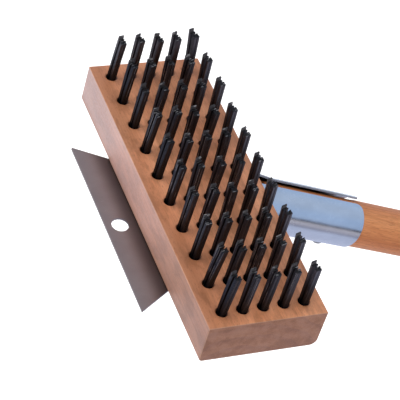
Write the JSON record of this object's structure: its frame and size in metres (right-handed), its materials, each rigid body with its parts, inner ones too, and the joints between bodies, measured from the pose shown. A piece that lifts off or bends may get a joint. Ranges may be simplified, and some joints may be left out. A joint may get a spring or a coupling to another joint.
{
  "type": "grill cleaning brush",
  "caption": "Wire scrub brush for a grill: rectangular wooden block of tufts, flared steel scraper plate with a rolled socket, long round wooden handle.",
  "frame": {"origin": "centre of the head block's bristle face", "axes": "+Z the way the bristles stand, +X from the scraping edge towards the handle, Y along the head block"},
  "size_m": [0.7571, 0.2032, 0.3182],
  "materials": {
    "block_wood": "sanded, unvarnished beech",
    "handle_wood": "smooth turned hardwood with fine dark pores",
    "sheet_steel": "bright zinc-plated sheet",
    "screw_steel": "zinc-plated",
    "wire_steel": "black tempered flat wire",
    "anchor_steel": "plain steel strip"
  },
  "bodies": {
    "root": {"head_block": "block_wood", "scraper_socket": "sheet_steel", "handle": "handle_wood", "plate_screws": "screw_steel", "handle_screw": "screw_steel", "tufts_row_01": "wire_steel", "tufts_row_02": "wire_steel", "tufts_row_03": "wire_steel", "tufts_row_04": "wire_steel", "tufts_row_05": "wire_steel", "tufts_row_06": "wire_steel", "tufts_row_07": "wire_steel", "tufts_row_08": "wire_steel", "tufts_row_09": "wire_steel", "tufts_row_10": "wire_steel", "anchors_row_01": "anchor_steel", "anchors_row_02": "anchor_steel", "anchors_row_03": "anchor_steel", "anchors_row_04": "anchor_steel", "anchors_row_05": "anchor_steel", "anchors_row_06": "anchor_steel", "anchors_row_07": "anchor_steel", "anchors_row_08": "anchor_steel", "anchors_row_09": "anchor_steel", "anchors_row_10": "anchor_steel"}
  },
  "joints": []
}
